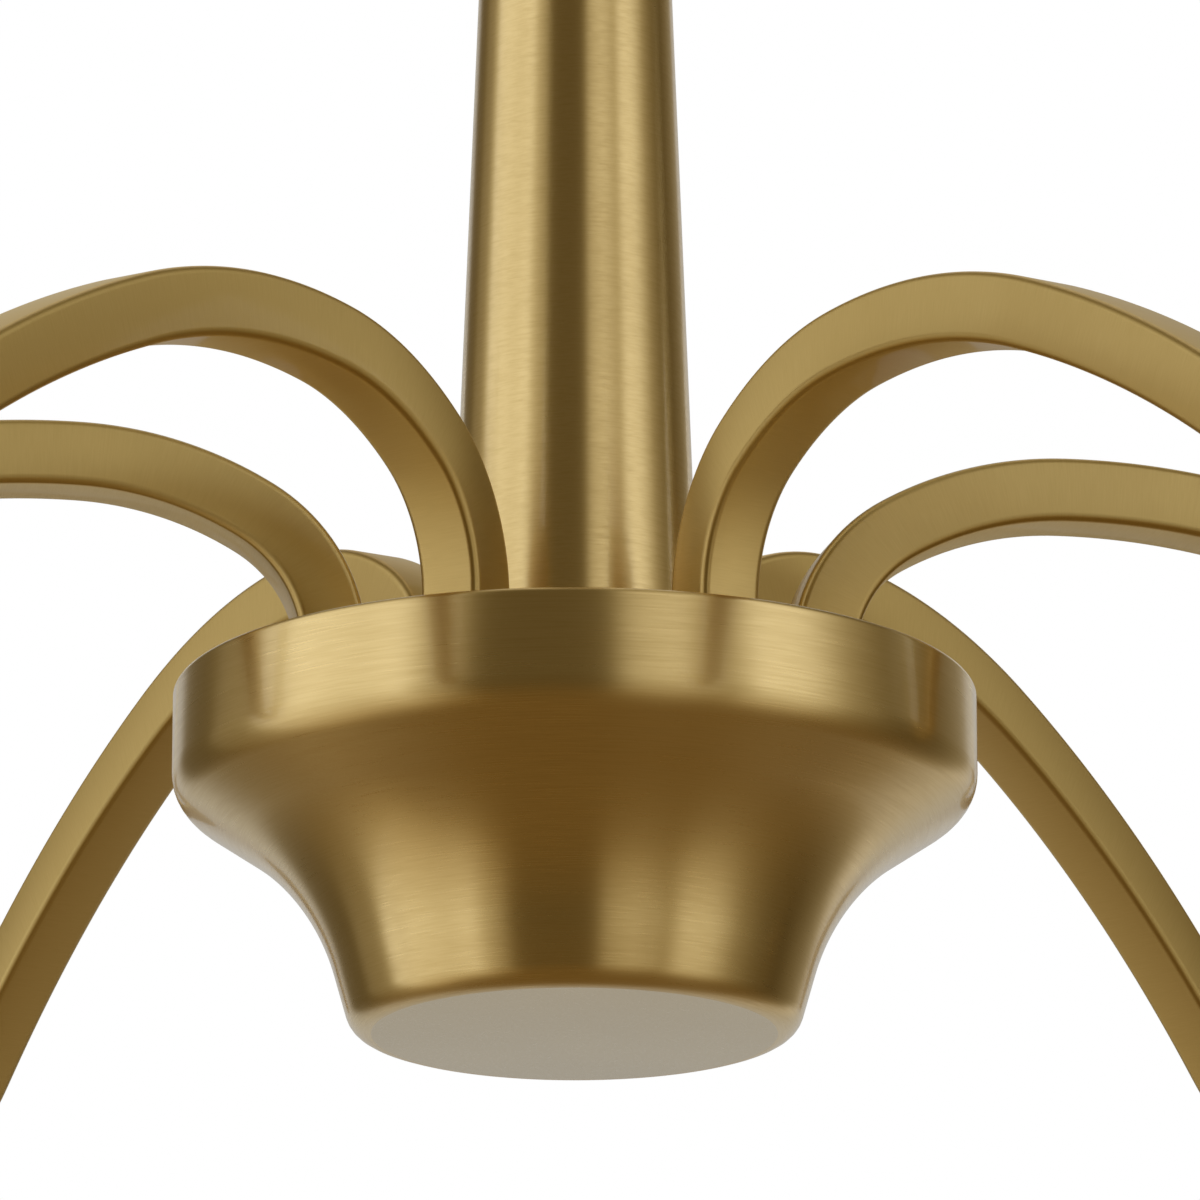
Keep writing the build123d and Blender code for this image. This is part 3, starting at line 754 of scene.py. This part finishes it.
# how bright reflections find the studio round the lamp: degrees from the camera's side,
# plus to the right, and level
STUDIO_LEVELS = [(-154, 0.0), (-147, 0.13), (-138, 0.14), (-126, 0.13), (-121, 0.30), (-104, 0.32),
                 (-99, 1.15), (-64, 0.96), (-50, 1.14), (-44, 0.68), (-36, 0.50), (-29, 0.13),
                 (10, 0.13), (16, 0.66), (30, 0.88), (40, 0.74), (45, 0.46), (49, 0.68), (54, 1.12),
                 (70, 1.02), (84, 0.42), (99, 0.20), (116, 0.10), (131, 0.20), (147, 0.28), (154, 0.0)]
# the boxes fade downwards between these heights in degrees, and the right ones hang this much higher
BOX_FADE = (-50, 12)
BOX_TILT = 7
BOX_FADE_POWER = 0.6
# higher up they dim to a share of their level, and a dim ceiling takes over
BOX_DIM_HEIGHTS = (30.0, 62.0)
BOX_DIM_SHARE = 0.38
CEILING_HEIGHTS = (50.0, 80.0)
CEILING_LEVEL = 0.4
# a dim studio is a warm one: green and blue fall faster than red
GREEN_POWER = 1.12
BLUE_POWER = 1.42
# the floor that reflections find is dim and warm, and fades in between these heights
FLOOR_FADE = (-60, -6)
FLOOR_SHADE = (0.175, 0.112, 0.042)
# diffuse light is white above these heights and this colour below
DIM_BELOW = (0.20, 0.16, 0.10)
DIM_HEIGHTS = (-30.0, 0.0)
# the wall behind starts this far round. On the right it starts sooner below these heights
WALL_START = 150
WALL_SOONER = 14.0
WALL_SOONER_HEIGHTS = (-10.0, 6.0)
WALL_SOFT_EDGE = 5.0
WALL_LEVEL = 0.55
WALL_DIM_LEVEL = WALL_LEVEL * 0.8
WALL_DIM_HEIGHTS = (-20.0, 5.0)
WALL_FADE = (-60.0, -30.0)


def make_world():
    """Soft boxes left and right, a wall behind, and a dim gap where the camera stands.

    Only reflections see these. The camera and light through glass see plain white, and diffuse light
    is white that dims below the horizon.
    """
    world = bpy.data.worlds.new("studio")
    bpy.context.scene.world = world
    world.use_nodes = True
    graph = Graph(world.node_tree)
    x, y, z = graph.separate(graph.node("ShaderNodeTexCoord").outputs["Generated"])
    to_degrees = 180 / math.pi
    azimuth = graph.math("MULTIPLY", graph.math("ARCTAN2", x, graph.math("MULTIPLY", y, -1.0)), to_degrees)
    elevation = graph.math("MULTIPLY", graph.math("ARCSINE", z), to_degrees)

    ramp = graph.node("ShaderNodeValToRGB")
    graph.link(graph.remap(azimuth, -180.0, 180.0, 0.0, 1.0), ramp.inputs[0])
    stops = ramp.color_ramp.elements
    while len(stops) < len(STUDIO_LEVELS):
        stops.new(0.5)
    for stop, (degrees, level) in zip(stops, STUDIO_LEVELS):
        stop.position = (degrees + 180) / 360
        stop.color = (level, level, level, 1.0)
    hung = graph.math("SUBTRACT", elevation, graph.math("MULTIPLY", x, BOX_TILT))
    fade = graph.math("POWER", graph.remap(hung, *BOX_FADE, 0.0, 1.0), BOX_FADE_POWER)
    ring = graph.math("MULTIPLY", ramp.outputs["Color"], fade)
    dimming = graph.remap(elevation, *BOX_DIM_HEIGHTS, 1.0, BOX_DIM_SHARE, smooth=True)
    ring = graph.math("MULTIPLY", ring, dimming)
    ceiling = graph.remap(elevation, *CEILING_HEIGHTS, 0.0, CEILING_LEVEL, smooth=True)
    ring = graph.math("MAXIMUM", ring, ceiling)
    green = graph.math("POWER", ring, GREEN_POWER)
    blue = graph.math("POWER", ring, BLUE_POWER)
    warm = graph.combine(ring, green, blue)

    def scaled(vector, factor):
        made = graph.node("ShaderNodeVectorMath", operation="SCALE")
        graph.link(vector, made.inputs[0])
        graph.link(factor, made.inputs["Scale"])
        return made.outputs[0]

    def added(first, second):
        made = graph.node("ShaderNodeVectorMath", operation="ADD")
        graph.link(first, made.inputs[0])
        graph.link(second, made.inputs[1])
        return made.outputs[0]

    below = graph.remap(elevation, *FLOOR_FADE, 1.0, 0.0, smooth=True)
    sooner = graph.remap(elevation, *WALL_SOONER_HEIGHTS, WALL_SOONER, 0.0)
    edge = graph.math("SUBTRACT", WALL_START, graph.math("MULTIPLY", graph.math("MAXIMUM", x, 0.0), sooner))
    past = graph.math("SUBTRACT", graph.math("ABSOLUTE", azimuth), edge)
    behind = graph.remap(past, -WALL_SOFT_EDGE, WALL_SOFT_EDGE, 0.0, 1.0, smooth=True)
    behind = graph.math("MULTIPLY", behind, graph.remap(elevation, *WALL_FADE, 0.0, 1.0, smooth=True))
    level = graph.remap(elevation, *WALL_DIM_HEIGHTS, WALL_DIM_LEVEL, WALL_LEVEL)
    behind = graph.math("MULTIPLY", behind, level)
    shine = added(warm, scaled(FLOOR_SHADE, below))
    shine = added(shine, graph.combine(behind, behind, behind))

    def background(colour):
        made = graph.node("ShaderNodeBackground")
        graph.link(colour, made.inputs["Color"])
        return made.outputs[0]

    def choose(factor, first, second):
        made = graph.node("ShaderNodeMixShader")
        graph.link(factor, made.inputs[0])
        graph.link(first, made.inputs[1])
        graph.link(second, made.inputs[2])
        return made.outputs[0]

    path = graph.node("ShaderNodeLightPath")
    white = rgba((1.0, 1.0, 1.0))
    soft = graph.mix(graph.remap(elevation, *DIM_HEIGHTS, 0.0, 1.0, smooth=True), rgba(DIM_BELOW), white)
    result = choose(path.outputs["Is Diffuse Ray"], background(shine), background(soft))
    result = choose(path.outputs["Is Transmission Ray"], result, background(white))
    result = choose(path.outputs["Is Camera Ray"], result, background(white))
    graph.link(result, graph.node("ShaderNodeOutputWorld").inputs[0])


def make_camera():
    camera = bpy.data.objects.new("camera", bpy.data.cameras.new("camera"))
    bpy.context.scene.collection.objects.link(camera)
    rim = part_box("hub_bowl")[1].z
    camera.location = (CAMERA_SIDE, -CAMERA_DISTANCE, rim - CAMERA_DROP)
    camera.rotation_euler = (math.pi / 2 + CAMERA_PITCH, 0.0, 0.0)
    camera.data.lens = CAMERA_LENS
    camera.data.sensor_width = SENSOR_WIDTH
    camera.data.clip_start = CLIP_START
    camera.data.clip_end = CLIP_END
    bpy.context.scene.camera = camera


make_camera()
make_world()
make_floor()
dress_nodes()
bpy.context.scene.view_settings.view_transform = "Standard"
